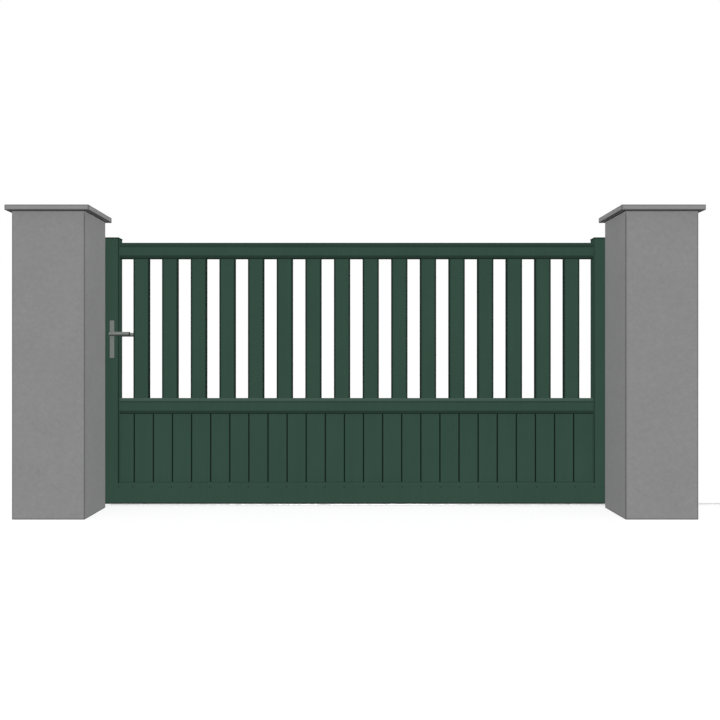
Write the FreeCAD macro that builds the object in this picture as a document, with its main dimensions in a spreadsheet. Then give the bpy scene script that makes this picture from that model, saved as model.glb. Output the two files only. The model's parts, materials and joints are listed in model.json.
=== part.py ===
"""Sliding driveway gate: two masonry pillars and one aluminium leaf that rolls on a ground track behind them.

X runs along the slide and is positive towards the opening side, Y points away from the street, Z is up.
The origin lies on the ground at the middle of the passage, on the line of the track. Lengths are in mm.
"""

import FreeCAD, Part
import math
import operator
import os

import Sketcher

doc = FreeCAD.newDocument("sliding_gate")
sheet = doc.addObject("Spreadsheet::Sheet", "sizes")

driving_sizes = {
    # Pillars
    "passage_width": 3000,
    "pillar_width": 405,
    "pillar_depth": 405,
    "pillar_rise": 80,
    "pillar_cap_thickness": 30,
    "pillar_cap_overhang": 30,
    "drip_groove_inset": 11,
    "drip_groove_width": 8,
    "drip_groove_depth": 6,
    # Leaf frame
    "leaf_gap": 70,
    "closing_overlap": 40,
    "guide_overlap": 55,
    "ground_clearance": 12,
    "stile_width": 100,
    "stile_depth": 90,
    "stile_wall": 3,
    "stile_rise": 25,
    "stile_cap_thickness": 7,
    "stile_cap_overhang": 1.5,
    "bottom_rail_height": 126,
    "bottom_rail_proud": 2,
    "bottom_rail_wall": 3,
    "bottom_slot_width": 44,
    "bottom_slot_notch": 40,
    "end_cap_thickness": 4,
    "drain_slot_length": 10,
    "drain_slot_height": 4,
    "drain_slot_drop": 21,
    "rail_height": 96,
    "rail_bevel": 21,
    "rail_depth": 56,
    "rail_edge_depth": 30,
    "crown_flare": 9,
    "rail_wall": 2.5,
    # Slats above, boards below
    "slat_length": 852,
    "slat_width": 100,
    "slat_depth": 28,
    "slat_wall": 2,
    "slat_pitch": 175.5,
    "panel_height": 420,
    "board_pitch": 117,
    "board_depth": 20,
    "board_wall": 2,
    "board_gap": 0.6,
    "board_chamfer": 4,
    "tongue_length": 7,
    "tongue_thickness": 6,
    "tongue_clearance": 0.5,
    # Lock plates and levers
    "lock_inset": 38,
    "lever_height": 1045,
    "lock_plate_width": 26,
    "lock_plate_length": 228,
    "lock_plate_thickness": 8,
    "lock_plate_above_lever": 82.5,
    "lever_radius": 12,
    "lever_spigot_radius": 10.5,
    "lever_reach": 120,
    "lever_projection": 61.5,
    "lever_bend": 16,
    "lever_play": 0.05,
    "spindle_side": 8,
    "spindle_hole_margin": 2,
    # Track and wheels
    "track_width": 40,
    "track_base": 3,
    "track_head_radius": 4,
    "track_head_height": 6,
    "wheel_radius": 44,
    "wheel_width": 24,
    "wheel_groove_depth": 7,
    "wheel_seat": 0.3,
    "wheel_inset": 250,
    "axle_radius": 6,
    "axle_play": 0.05,
    "cheek_thickness": 4,
    "cheek_gap": 1.5,
    "cheek_length": 60,
    "cheek_below_axle": 14,
    # Receiver on the closing pillar
    "receiver_wall": 3,
    "receiver_clearance": 6,
    "receiver_stop": 8,
    "receiver_grip": 21,
    "receiver_foot": 60,
    "receiver_lift": 22,
    "receiver_height": 1380,
    "strike_slot_width": 22,
    "strike_slot_height": 90,
    "strike_slot_drop": 35,
    "closing_pad_play": 0.3,
    "closing_pad_width": 40,
    "closing_pad_height": 60,
    "closing_pad_inset": 150,
    # Guide on the opening pillar
    "guide_width": 40,
    "guide_height": 40,
    "guide_wall": 3,
    "guide_drop": 8,
    "guide_tail": 130,
    "standoff_length": 40,
    "standoff_height": 25,
    "bracket_inset": 60,
    "bracket_length": 120,
    "bracket_plate": 6,
    "bracket_leg": 110,
    "bracket_over_leaf": 16,
    "bracket_web_depth": 46,
    "bracket_web_height": 80,
    "roller_spacing": 60,
    "roller_play": 0.3,
    "roller_height": 28,
    "roller_lift": 5,
    "pin_radius": 6,
    "pin_head_radius": 9,
    "pin_head_height": 3,
    # End stop of the track
    "stop_clearance": 5,
    "stop_plate": 8,
    "stop_width": 60,
    "stop_height": 105,
    "stop_foot": 90,
    "buffer_length": 25,
    "buffer_radius": 20,
    "buffer_height": 75,
}
for row, (alias, number) in enumerate(driving_sizes.items(), start=1):
    sheet.set(f"A{row}", alias)
    sheet.set(f"B{row}", str(number))
    sheet.setAlias(f"B{row}", alias)
doc.recompute()


class Size:
    """A length held both as an expression of the sheet and as its number."""

    def __init__(self, text, value):
        self.text = text
        self.value = value

    def __add__(self, other):
        return joined(self, "+", other)

    def __radd__(self, other):
        return joined(other, "+", self)

    def __sub__(self, other):
        return joined(self, "-", other)

    def __rsub__(self, other):
        return joined(other, "-", self)

    def __mul__(self, other):
        return joined(self, "*", other)

    def __rmul__(self, other):
        return joined(other, "*", self)

    def __truediv__(self, other):
        return joined(self, "/", other)

    def __neg__(self):
        return joined(0, "-", self)


signs = {"+": operator.add, "-": operator.sub, "*": operator.mul, "/": operator.truediv}


def as_size(value):
    return value if isinstance(value, Size) else Size(str(value), float(value))


def joined(left, sign, right):
    first, second = as_size(left), as_size(right)
    return Size(f"({first.text} {sign} {second.text})", signs[sign](first.value, second.value))


def size(alias):
    return Size(f"sizes.{alias}", float(sheet.get(alias)))


def bind(item, path, value):
    item.setExpression(path, as_size(value).text)


def put(item, x, y, z):
    for axis, value in zip("xyz", (x, y, z)):
        bind(item, f"Placement.Base.{axis}", value)
    return item


def box(label, low, extent):
    item = doc.addObject("Part::Box", label)
    for side, value in zip(("Length", "Width", "Height"), extent):
        bind(item, side, value)
    return put(item, *low)


def cylinder_along_y(label, centre, radius, length):
    item = doc.addObject("Part::Cylinder", label)
    item.Placement.Rotation = FreeCAD.Rotation(FreeCAD.Vector(1, 0, 0), -90)
    bind(item, "Radius", radius)
    bind(item, "Height", length)
    return put(item, *centre)


def cone_along_y(label, centre, end_radii, length):
    item = doc.addObject("Part::Cone", label)
    item.Placement.Rotation = FreeCAD.Rotation(FreeCAD.Vector(1, 0, 0), -90)
    for end, radius in zip(("Radius1", "Radius2"), end_radii):
        bind(item, end, radius)
    bind(item, "Height", length)
    return put(item, *centre)


def cylinder_up(label, centre, radius, height):
    item = doc.addObject("Part::Cylinder", label)
    bind(item, "Radius", radius)
    bind(item, "Height", height)
    return put(item, *centre)


def cut(label, base, *tools):
    for number, tool in enumerate(tools, start=1):
        last = number == len(tools)
        item = doc.addObject("Part::Cut", label if last else f"{label}_cut_{number}")
        item.Base = base
        item.Tool = tool
        base = item
    return base


def fuse(label, *items):
    item = doc.addObject("Part::MultiFuse", label)
    item.Shapes = list(items)
    item.Refine = True
    return item


def together(label, items):
    item = doc.addObject("Part::Compound", label)
    item.Links = list(items)
    return item


def new_body(label):
    body = doc.addObject("PartDesign::Body", label)
    body.Label = label
    return body


def new_sketch(body, name, plane):
    sketch = body.newObject("Sketcher::SketchObject", f"{body.Name}_{name}")
    role = f"{plane}_Plane"
    sketch.AttachmentSupport = [(next(f for f in body.Origin.OriginFeatures if f.Role == role), "")]
    sketch.MapMode = "FlatFace"
    return sketch


def pin_point(sketch, geometry, corner, point):
    """Ties one sketch point to its two coordinates."""
    for kind, value in zip(("DistanceX", "DistanceY"), point):
        tie_distance(sketch, kind, geometry, corner, value)


def tie_distance(sketch, kind, geometry, corner, value):
    rule = Sketcher.Constraint(kind, -1, 1, geometry, corner, as_size(value).value)
    bind(sketch, f"Constraints[{sketch.addConstraint(rule)}]", value)


def vector(point):
    return FreeCAD.Vector(as_size(point[0]).value, as_size(point[1]).value, 0)


def arc_between(start, end, centre):
    middle = vector(centre)
    first, last = vector(start) - middle, vector(end) - middle
    circle = Part.Circle(middle, FreeCAD.Vector(0, 0, 1), first.Length)
    return Part.ArcOfCircle(circle, math.atan2(first.y, first.x), math.atan2(last.y, last.x))


def draw(sketch, points, arcs=None, closed=True):
    """Draws straight edges from point to point. arcs gives, by edge, a centre and whether it turns left."""
    arcs = arcs or {}
    count = len(points) if closed else len(points) - 1
    edges = []
    for number in range(count):
        start, end = points[number], points[(number + 1) % len(points)]
        if number not in arcs:
            edges.append((sketch.addGeometry(Part.LineSegment(vector(start), vector(end)), False), 1, 2))
            continue
        centre, left = arcs[number]
        curve = arc_between(start, end, centre) if left else arc_between(end, start, centre)
        edge = sketch.addGeometry(curve, False)
        edges.append((edge, 1, 2) if left else (edge, 2, 1))
    for number in range(count if closed else count - 1):
        this, following = edges[number], edges[(number + 1) % count]
        sketch.addConstraint(Sketcher.Constraint("Coincident", this[0], this[2], following[0], following[1]))
    for number in range(count):
        pin_point(sketch, edges[number][0], edges[number][1], points[number])
    if not closed:
        pin_point(sketch, edges[-1][0], edges[-1][2], points[-1])
    for number, (centre, left) in arcs.items():
        chord = vector(points[(number + 1) % len(points)]) - vector(points[number])
        flat = abs(chord.x) > abs(chord.y)
        direction = "DistanceY" if flat else "DistanceX"
        tie_distance(sketch, direction, edges[number][0], 3, centre[1 if flat else 0])


def extruded(label, plane, loops, length, place, arcs=None):
    """A profile drawn on one of the body's planes and pulled along that plane's normal."""
    body = new_body(label)
    sketch = new_sketch(body, "profile", plane)
    for number, points in enumerate(loops):
        draw(sketch, points, arcs if number == 0 else None)
    pad = body.newObject("PartDesign::Pad", f"{label}_pad")
    pad.Profile = sketch
    bind(pad, "Length", length)
    return put(body, *place)


def rectangle(low, high):
    return [low, (high[0], low[1]), high, (low[0], high[1])]


# Levels of the leaf, from the ground up
bottom_rail_top = size("ground_clearance") + size("bottom_rail_height")
middle_rail_bottom = bottom_rail_top + size("panel_height")
middle_rail_top = middle_rail_bottom + size("rail_height")
top_rail_bottom = middle_rail_top + size("slat_length")
top_rail_top = top_rail_bottom + size("rail_height")
stile_top = top_rail_top + size("stile_rise")
leaf_top = stile_top + size("stile_cap_thickness")
pillar_height = leaf_top + size("pillar_rise")

# Places along the slide
passage_half = size("passage_width") / 2
leaf_left = -passage_half - size("closing_overlap")
leaf_right = passage_half + size("guide_overlap")
leaf_length = leaf_right - leaf_left
inner_left = leaf_left + size("stile_width")
inner_right = leaf_right - size("stile_width")
clear_width = inner_right - inner_left
slide_travel = size("passage_width") + size("closing_overlap") - size("stile_width")

# Planes across the leaf
leaf_face = size("stile_depth") / 2
pillar_back = -leaf_face - size("leaf_gap")
pillar_front = pillar_back - size("pillar_depth")
rail_face = size("rail_depth") / 2
rail_edge = size("rail_edge_depth") / 2
bottom_rail_face = leaf_face + size("bottom_rail_proud")

parts = []


def make_pillar(side, left):
    """A square pillar under a flat coping, with a drip groove round the underside of the overhang."""
    width, depth = size("pillar_width"), size("pillar_depth")
    overhang = size("pillar_cap_overhang")
    parts.append(box(f"{side}_pillar", (left, pillar_front, 0), (width, depth, pillar_height)))

    def coping_block(name, margin, thickness):
        """A block centred on the pillar's top that reaches a margin beyond its sides."""
        low = (left - margin, pillar_front - margin, pillar_height)
        return box(f"{side}_{name}", low, (width + 2 * margin, depth + 2 * margin, thickness))

    slab = coping_block("coping_slab", overhang, size("pillar_cap_thickness"))
    outside = overhang - size("drip_groove_inset")
    ring = coping_block("drip_outside", outside, size("drip_groove_depth"))
    island = coping_block("drip_inside", outside - size("drip_groove_width"), size("drip_groove_depth"))
    parts.append(cut(f"{side}_pillar_cap", slab, cut(f"{side}_drip_groove", ring, island)))


def make_stile(side, left, lever_hole):
    wall = size("stile_wall")
    length = stile_top - bottom_rail_top
    outer = box(
        f"{side}_stile_outside",
        (left, -leaf_face, bottom_rail_top),
        (size("stile_width"), size("stile_depth"), length),
    )
    hollow = box(
        f"{side}_stile_hollow",
        (left + wall, wall - leaf_face, bottom_rail_top),
        (size("stile_width") - 2 * wall, size("stile_depth") - 2 * wall, length),
    )
    tools = [hollow]
    if lever_hole:
        radius = size("lever_spigot_radius") + size("spindle_hole_margin")
        centre = (lever_x, -leaf_face, size("lever_height"))
        tools.append(cylinder_along_y(f"{side}_stile_bore", centre, radius, size("stile_depth")))
    parts.append(cut(f"{side}_stile", outer, *tools))
    overhang = size("stile_cap_overhang")
    parts.append(
        box(
            f"{side}_stile_cap",
            (left - overhang, -leaf_face - overhang, stile_top),
            (
                size("stile_width") + 2 * overhang,
                size("stile_depth") + 2 * overhang,
                size("stile_cap_thickness"),
            ),
        )
    )


def make_bevelled_rail(label, bottom, top_edge):
    """A hollow rail whose lower edges slope back on both faces, and whose upper edges slope to top_edge."""
    bevel, wall = size("rail_bevel"), size("rail_wall")
    top = bottom + size("rail_height")

    def ring(inset):
        face, low, high = rail_face - inset, rail_edge - inset, top_edge - inset
        return [
            (-low, bottom + inset),
            (low, bottom + inset),
            (face, bottom + bevel),
            (face, top - bevel),
            (high, top - inset),
            (-high, top - inset),
            (-face, top - bevel),
            (-face, bottom + bevel),
        ]

    parts.append(extruded(label, "YZ", [ring(as_size(0)), ring(wall)], clear_width, (inner_left, 0, 0)))


def board_joints():
    """Places of the joints of the lower field, counted from the guide stile, and of its two ends."""
    count = math.ceil(clear_width.value / size("board_pitch").value)
    return [inner_right - number * size("board_pitch") for number in range(count)] + [inner_left]


def make_bottom_rail():
    """An inverted channel with lips, open below for the wheels, with a drain slot at each board joint."""
    wall, face = size("bottom_rail_wall"), bottom_rail_face
    slot = size("bottom_slot_width") / 2
    low = size("ground_clearance")
    profile = [
        (-slot, low),
        (-slot, low + wall),
        (wall - face, low + wall),
        (wall - face, bottom_rail_top - wall),
        (face - wall, bottom_rail_top - wall),
        (face - wall, low + wall),
        (slot, low + wall),
        (slot, low),
        (face, low),
        (face, bottom_rail_top),
        (-face, bottom_rail_top),
        (-face, low),
    ]
    channel = extruded("bottom_rail_profile", "YZ", [profile], leaf_length, (leaf_left, 0, 0))
    slot_length, slot_height = size("drain_slot_length"), size("drain_slot_height")
    slot_bottom = bottom_rail_top - size("drain_slot_drop") - slot_height
    drains = []
    for number, x in enumerate(board_joints(), start=1):
        start = (x - slot_length / 2, -face, slot_bottom)
        drains.append(box(f"drain_slot_{number:02d}", start, (slot_length, 2 * face, slot_height)))
    parts.append(cut("bottom_rail", channel, fuse("drain_slots", *drains)))
    cap = size("end_cap_thickness")
    for side, x in (("left", leaf_left - cap), ("right", leaf_right)):
        plate = box(f"{side}_end_cap_plate", (x, -face, low), (cap, 2 * face, size("bottom_rail_height")))
        notch = box(f"{side}_end_cap_notch", (x, -slot, low), (cap, 2 * slot, size("bottom_slot_notch")))
        parts.append(cut(f"{side}_rail_end_cap", plate, notch))


def make_slats():
    """Open upper field: as many slats as the pitch allows, centred between the stiles."""
    pitch, width, wall = size("slat_pitch"), size("slat_width"), size("slat_wall")
    count = math.floor(clear_width.value / pitch.value)
    first = (inner_left + inner_right) / 2 - (count - 1) * pitch / 2 - width / 2
    face = size("slat_depth") / 2
    for number in range(count):
        outside = rectangle((0, -face), (width, face))
        inside = rectangle((wall, wall - face), (width - wall, face - wall))
        place = (first + number * pitch, 0, middle_rail_top)
        parts.append(extruded(f"slat_{number + 1:02d}", "XY", [outside, inside], size("slat_length"), place))


def board_outline(width, groove, tongue):
    """Plan of one hollow board: chamfered edges, a groove on its left side and a tongue on its right."""
    face, chamfer = size("board_depth") / 2, size("board_chamfer")
    shoulder = face - chamfer
    half_tongue = size("tongue_thickness") / 2
    half_groove = half_tongue + size("tongue_clearance")
    bottom = size("tongue_length") + 2 * size("tongue_clearance") + size("board_gap")
    right, left = [], []
    if tongue:
        tip = width + size("tongue_length")
        right = [(width, -half_tongue), (tip, -half_tongue), (tip, half_tongue), (width, half_tongue)]
    if groove:
        left = [(0, half_groove), (bottom, half_groove), (bottom, -half_groove), (0, -half_groove)]
    return [
        (chamfer, -face),
        (width - chamfer, -face),
        (width, -shoulder),
        *right,
        (width, shoulder),
        (width - chamfer, face),
        (chamfer, face),
        (0, shoulder),
        *left,
        (0, -shoulder),
    ]


def make_boards():
    """Closed lower field: tongue-and-groove boards laid from the guide stile, the last one cut to fit."""
    wall = size("board_wall")
    joints = board_joints()
    count = len(joints) - 1
    face = size("board_depth") / 2
    core = size("tongue_length") + 2 * size("tongue_clearance") + size("board_gap") + wall
    boards = []
    for number in range(count):
        right_most, left_most = number == 0, number == count - 1
        right, left = joints[number], joints[number + 1]
        width = right - left if right_most else right - left - size("board_gap")
        start = wall if left_most else core
        hollow = rectangle(
            (start + size("board_chamfer"), wall - face),
            (width - size("board_chamfer") - wall, face - wall),
        )
        outline = board_outline(width, groove=not left_most, tongue=not right_most)
        place = (left, 0, bottom_rail_top)
        label = f"board_{number + 1:02d}"
        boards.append(extruded(label, "XY", [outline, hollow], size("panel_height"), place))
    parts.append(together("infill_boards", boards))


lever_x = inner_left - size("lock_inset")


def make_lock_plate(side, y):
    width, thickness = size("lock_plate_width"), size("lock_plate_thickness")
    top = size("lever_height") + size("lock_plate_above_lever")
    plate = box(
        f"{side}_lock_plate_blank",
        (lever_x - width / 2, y, top - size("lock_plate_length")),
        (width, thickness, size("lock_plate_length")),
    )
    radius = size("lever_spigot_radius") + size("lever_play")
    centre = (lever_x, y, size("lever_height"))
    bore = cylinder_along_y(f"{side}_lock_plate_bore", centre, radius, thickness)
    parts.append(cut(f"{side}_lock_plate", plate, bore))


def make_lever(side, outwards):
    """A round bar bent once: a spigot in the plate, a flared neck, then the bend and the bar along the leaf."""
    radius, bend = size("lever_radius"), size("lever_bend")
    spigot_radius, spigot_length = size("lever_spigot_radius"), size("lock_plate_thickness")
    neck_length = size("lever_projection") - radius - bend - spigot_length
    neck_start = leaf_face + spigot_length
    bend_start = neck_start + neck_length
    spigot_low = -neck_start if outwards < 0 else leaf_face
    spigot_centre = (lever_x, spigot_low, size("lever_height"))
    spigot = cylinder_along_y(f"{side}_lever_spigot", spigot_centre, spigot_radius, spigot_length)
    neck_low = -bend_start if outwards < 0 else neck_start
    neck_ends = (radius, spigot_radius) if outwards < 0 else (spigot_radius, radius)
    neck = cone_along_y(f"{side}_lever_neck", (lever_x, neck_low, size("lever_height")), neck_ends, neck_length)

    body = new_body(f"{side}_lever_bar")
    turn = outwards * bend
    spine = new_sketch(body, "spine", "XY")
    draw(
        spine,
        [(0, 0), (bend, turn), (size("lever_reach"), turn)],
        arcs={0: ((bend, 0), outwards < 0)},
        closed=False,
    )
    section = new_sketch(body, "section", "XZ")
    circle = Part.Circle(FreeCAD.Vector(0, 0, 0), FreeCAD.Vector(0, 0, 1), radius.value)
    ring = section.addGeometry(circle, False)
    section.addConstraint(Sketcher.Constraint("Coincident", ring, 3, -1, 1))
    rule = section.addConstraint(Sketcher.Constraint("Radius", ring, radius.value))
    bind(section, f"Constraints[{rule}]", radius)
    pipe = body.newObject("PartDesign::AdditivePipe", f"{side}_lever_pipe")
    pipe.Profile = section
    pipe.Spine = spine
    put(body, lever_x, outwards * bend_start, size("lever_height"))
    parts.append(fuse(f"{side}_lever", spigot, neck, body))


def make_spindle():
    side = size("spindle_side")
    low = (lever_x - side / 2, -leaf_face, size("lever_height") - side / 2)
    parts.append(box("lever_spindle", low, (side, size("stile_depth"), side)))


# A right-angled groove rests on the round head, the square root of two times its radius above its centre
head_centre = size("track_head_height")
root_two = Size("sqrt(2)", math.sqrt(2))
groove_bottom = head_centre + root_two * (size("track_head_radius") + size("wheel_seat"))
axle_height = groove_bottom + size("wheel_radius") - size("wheel_groove_depth")
buffer_face = leaf_right + size("end_cap_thickness") + slide_travel + size("stop_clearance")
stop_face = buffer_face + size("buffer_length")


def make_track():
    """A flat strip with a round-headed rib for the wheels."""
    half, base = size("track_width") / 2, size("track_base")
    head = size("track_head_radius")
    profile = [
        (-half, 0),
        (half, 0),
        (half, base),
        (head, base),
        (head, head_centre),
        (-head, head_centre),
        (-head, base),
        (-half, base),
    ]
    arcs = {4: ((0, head_centre), True)}
    length = stop_face + passage_half
    parts.append(extruded("ground_track", "YZ", [profile], length, (-passage_half, 0, 0), arcs))


def make_end_stop():
    plate, width = size("stop_plate"), size("stop_width")
    upright = box("end_stop_upright", (stop_face, -width / 2, 0), (plate, width, size("stop_height")))
    foot = box("end_stop_foot", (stop_face, -width / 2, 0), (size("stop_foot"), width, plate))
    parts.append(fuse("end_stop", upright, foot))
    buffer = doc.addObject("Part::Cylinder", "end_stop_buffer")
    buffer.Placement.Rotation = FreeCAD.Rotation(FreeCAD.Vector(0, 1, 0), 90)
    bind(buffer, "Radius", size("buffer_radius"))
    bind(buffer, "Height", size("buffer_length"))
    parts.append(put(buffer, buffer_face, 0, size("buffer_height")))


def make_wheel(side, x):
    """A grooved wheel turned about its axle."""
    body = new_body(f"{side}_wheel")
    half = size("wheel_width") / 2
    bore = size("axle_radius") + size("axle_play")
    rim, groove = size("wheel_radius"), size("wheel_groove_depth")
    profile = [
        (-half, bore),
        (half, bore),
        (half, rim),
        (groove, rim),
        (0, rim - groove),
        (-groove, rim),
        (-half, rim),
    ]
    sketch = new_sketch(body, "profile", "YZ")
    draw(sketch, profile)
    turned = body.newObject("PartDesign::Revolution", f"{side}_wheel_turned")
    turned.Profile = sketch
    turned.ReferenceAxis = (sketch, ["H_Axis"])
    turned.Angle = 360
    return put(body, x, 0, axle_height)


def make_carriage(side, x):
    """A fork that hangs from the rail's top wall and holds a wheel's axle."""
    cheek, length = size("cheek_thickness"), size("cheek_length")
    inner = size("wheel_width") / 2 + size("cheek_gap")
    outer = inner + cheek
    low = axle_height - size("cheek_below_axle")
    top = bottom_rail_top - size("bottom_rail_wall")
    block = box(f"{side}_carriage_block", (x - length / 2, -outer, low), (length, 2 * outer, top - low))
    clear = (length, 2 * inner, top - low - cheek)
    space = box(f"{side}_carriage_space", (x - length / 2, -inner, low), clear)
    fork = cut(f"{side}_carriage_fork", block, space)
    axle = cylinder_along_y(f"{side}_axle", (x, -outer, axle_height), size("axle_radius"), 2 * outer)
    parts.append(fuse(f"{side}_wheel_carriage", fork, axle))


def make_receiver():
    """A profile on the closing pillar's back that takes the stile's edge, with a strike slot for the bolt."""
    wall = size("receiver_wall")
    inner = leaf_left - size("receiver_stop")
    outer = inner - wall
    lip = leaf_left + size("receiver_grip")
    side = leaf_face + size("receiver_clearance")
    heel = outer - size("receiver_foot")
    profile = [
        (heel, pillar_back),
        (inner, pillar_back),
        (inner, -side - wall),
        (lip, -side - wall),
        (lip, -side),
        (inner, -side),
        (inner, side),
        (lip, side),
        (lip, side + wall),
        (outer, side + wall),
        (outer, pillar_back + wall),
        (heel, pillar_back + wall),
    ]
    bottom = bottom_rail_top + size("receiver_lift")
    channel = extruded("receiver_profile", "XY", [profile], size("receiver_height"), (0, 0, bottom))
    slot_width, slot_height = size("strike_slot_width"), size("strike_slot_height")
    slot_low = size("lever_height") - size("strike_slot_drop") - slot_height / 2
    strike = box("strike_slot", (outer, -slot_width / 2, slot_low), (wall, slot_width, slot_height))
    parts.append(cut("receiver_channel", channel, strike))
    pad_width, pad_height = size("closing_pad_width"), size("closing_pad_height")
    low = bottom + size("closing_pad_inset")
    high = bottom + size("receiver_height") - size("closing_pad_inset") - pad_height
    extent = (size("receiver_stop") - size("closing_pad_play"), pad_width, pad_height)
    pads = []
    for name, level in (("lower_closing_pad", low), ("upper_closing_pad", high)):
        pads.append(box(name, (inner, -pad_width / 2, level), extent))
    parts.append(together("closing_pads", pads))


guide_top = top_rail_top - size("guide_drop")
guide_floor = guide_top - size("guide_height")
guide_centre = leaf_face + size("guide_width") / 2


def make_guide_channel():
    """A channel open upwards along the leaf's rear face, held off the top rail by short blocks."""
    wall = size("guide_wall")
    near, far = leaf_face, leaf_face + size("guide_width")
    profile = [
        (near, guide_floor),
        (far, guide_floor),
        (far, guide_top),
        (far - wall, guide_top),
        (far - wall, guide_floor + wall),
        (near + wall, guide_floor + wall),
        (near + wall, guide_top),
        (near, guide_top),
    ]
    length = leaf_length + size("guide_tail")
    parts.append(extruded("guide_channel", "YZ", [profile], length, (leaf_left, 0, 0)))
    block = size("standoff_length")
    count = 5
    blocks = []
    for number in range(count):
        x = inner_left + (number + 1) * clear_width / (count + 1) - block / 2
        extent = (block, leaf_face - rail_face, size("standoff_height"))
        blocks.append(box(f"standoff_{number + 1}", (x, rail_face, guide_floor), extent))
    parts.append(together("guide_standoffs", blocks))


def make_guide_bracket():
    """A bent plate on the opening pillar's back, over the leaf, with two rollers hung in the channel."""
    plate = size("bracket_plate")
    left = passage_half + size("bracket_inset")
    length = size("bracket_length")
    under = leaf_top + size("bracket_over_leaf")
    over = under + plate
    end = leaf_face + size("guide_width")
    front = pillar_back + plate
    profile = [
        (pillar_back, over - size("bracket_leg")),
        (front, over - size("bracket_leg")),
        (front, under),
        (end, under),
        (end, over),
        (pillar_back, over),
    ]
    angle = extruded("guide_bracket_angle", "YZ", [profile], length, (left, 0, 0))
    web = [
        (front, under - size("bracket_web_height")),
        (front + size("bracket_web_depth"), under),
        (front, under),
    ]
    web_left = left + length / 2 - plate / 2
    gusset = extruded("guide_bracket_web", "YZ", [web], plate, (web_left, 0, 0))
    pieces = [angle, gusset]
    rollers = []
    radius = size("guide_width") / 2 - size("guide_wall") - size("roller_play")
    head = size("pin_head_height")
    roller_bottom = guide_floor + size("guide_wall") + size("roller_lift")
    for number, step in enumerate((-1, 1), start=1):
        x = left + length / 2 + step * size("roller_spacing") / 2
        foot = roller_bottom - head
        pieces.append(
            cylinder_up(f"guide_pin_{number}", (x, guide_centre, foot), size("pin_radius"), under - foot)
        )
        pieces.append(
            cylinder_up(f"guide_pin_head_{number}", (x, guide_centre, foot), size("pin_head_radius"), head)
        )
        rim = cylinder_up(
            f"guide_roller_rim_{number}", (x, guide_centre, roller_bottom), radius, size("roller_height")
        )
        bore = cylinder_up(
            f"guide_roller_bore_{number}",
            (x, guide_centre, roller_bottom),
            size("pin_radius") + size("axle_play"),
            size("roller_height"),
        )
        rollers.append(cut(f"guide_roller_{number}", rim, bore))
    parts.append(fuse("guide_bracket", *pieces))
    parts.append(together("guide_rollers", rollers))


make_pillar("left", -passage_half - size("pillar_width"))
make_pillar("right", passage_half)
make_stile("left", leaf_left, lever_hole=True)
make_stile("right", inner_right, lever_hole=False)
make_bottom_rail()
make_bevelled_rail("middle_rail", middle_rail_bottom, rail_edge)
make_bevelled_rail("top_rail", top_rail_bottom, rail_face + size("crown_flare"))
make_slats()
make_boards()
make_lock_plate("front", -leaf_face - size("lock_plate_thickness"))
make_lock_plate("rear", leaf_face)
make_lever("front", -1)
make_lever("rear", 1)
make_spindle()
make_track()
make_end_stop()
wheel_places = {"left": leaf_left + size("wheel_inset"), "right": leaf_right - size("wheel_inset")}
parts.append(together("wheels", [make_wheel(side, x) for side, x in wheel_places.items()]))
for side, x in wheel_places.items():
    make_carriage(side, x)
make_receiver()
make_guide_channel()
make_guide_bracket()

doc.recompute()
for item in doc.Objects:
    if "Invalid" in item.State or "Error" in item.State:
        raise RuntimeError(f"{item.Label} failed: {item.State}")
for part in parts:
    if part.Shape.isNull() or not part.Shape.isValid():
        raise RuntimeError(f"{part.Label} has no valid shape")

os.makedirs("parts", exist_ok=True)
for part in parts:
    part.Shape.exportStep(f"parts/{part.Label}.step")
print(f"wrote {len(parts)} parts")
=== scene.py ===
import json
import math

import bmesh
import bpy
from mathutils import Matrix, Vector


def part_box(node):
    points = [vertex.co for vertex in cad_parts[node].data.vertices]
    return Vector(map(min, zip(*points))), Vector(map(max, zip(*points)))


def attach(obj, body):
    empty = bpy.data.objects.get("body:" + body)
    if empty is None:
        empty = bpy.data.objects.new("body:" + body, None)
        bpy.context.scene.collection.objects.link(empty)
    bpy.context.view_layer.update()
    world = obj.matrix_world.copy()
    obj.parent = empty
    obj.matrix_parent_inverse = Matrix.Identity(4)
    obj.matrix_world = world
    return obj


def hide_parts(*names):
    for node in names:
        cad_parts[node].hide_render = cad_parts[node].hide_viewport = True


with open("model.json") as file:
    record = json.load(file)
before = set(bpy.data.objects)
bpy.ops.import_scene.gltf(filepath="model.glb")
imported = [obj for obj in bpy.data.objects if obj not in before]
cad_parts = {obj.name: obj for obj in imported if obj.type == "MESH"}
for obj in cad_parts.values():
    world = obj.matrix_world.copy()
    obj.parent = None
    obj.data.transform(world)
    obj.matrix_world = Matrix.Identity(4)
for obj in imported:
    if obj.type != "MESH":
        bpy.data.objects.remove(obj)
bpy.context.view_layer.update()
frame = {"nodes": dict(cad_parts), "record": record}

nodes = frame["nodes"]
slatNodes = sorted(name for name in nodes if name.startswith("slat_"))
print("frame loaded,", len(nodes), "nodes")


# node tree helpers

def wire(tree, node, links):      # links a socket, sets a number or a colour
    for name, value in links.items():
        if isinstance(value, bpy.types.NodeSocket):
            tree.links.new(value, node.inputs[name])
        else:
            node.inputs[name].default_value = value


def addNode(tree, kind, links=None, **settings):
    node = tree.nodes.new("ShaderNode" + kind)
    for name, value in settings.items():
        setattr(node, name, value)
    wire(tree, node, links or {})
    return node


def startFinish(name):
    finish = bpy.data.materials.new(name)
    finish.use_nodes = True
    tree = finish.node_tree
    coords = addNode(tree, "TexCoord").outputs["Object"]
    return finish, tree, tree.nodes["Principled BSDF"], coords


def stretch(tree, coords, scale):
    return addNode(tree, "Mapping", {"Vector": coords, "Scale": scale}).outputs["Vector"]


def noise(tree, coords, scale, detail=2.0, roughness=0.5):
    links = {"Vector": coords, "Scale": scale, "Detail": detail, "Roughness": roughness}
    return addNode(tree, "TexNoise", links).outputs["Fac"]


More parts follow.
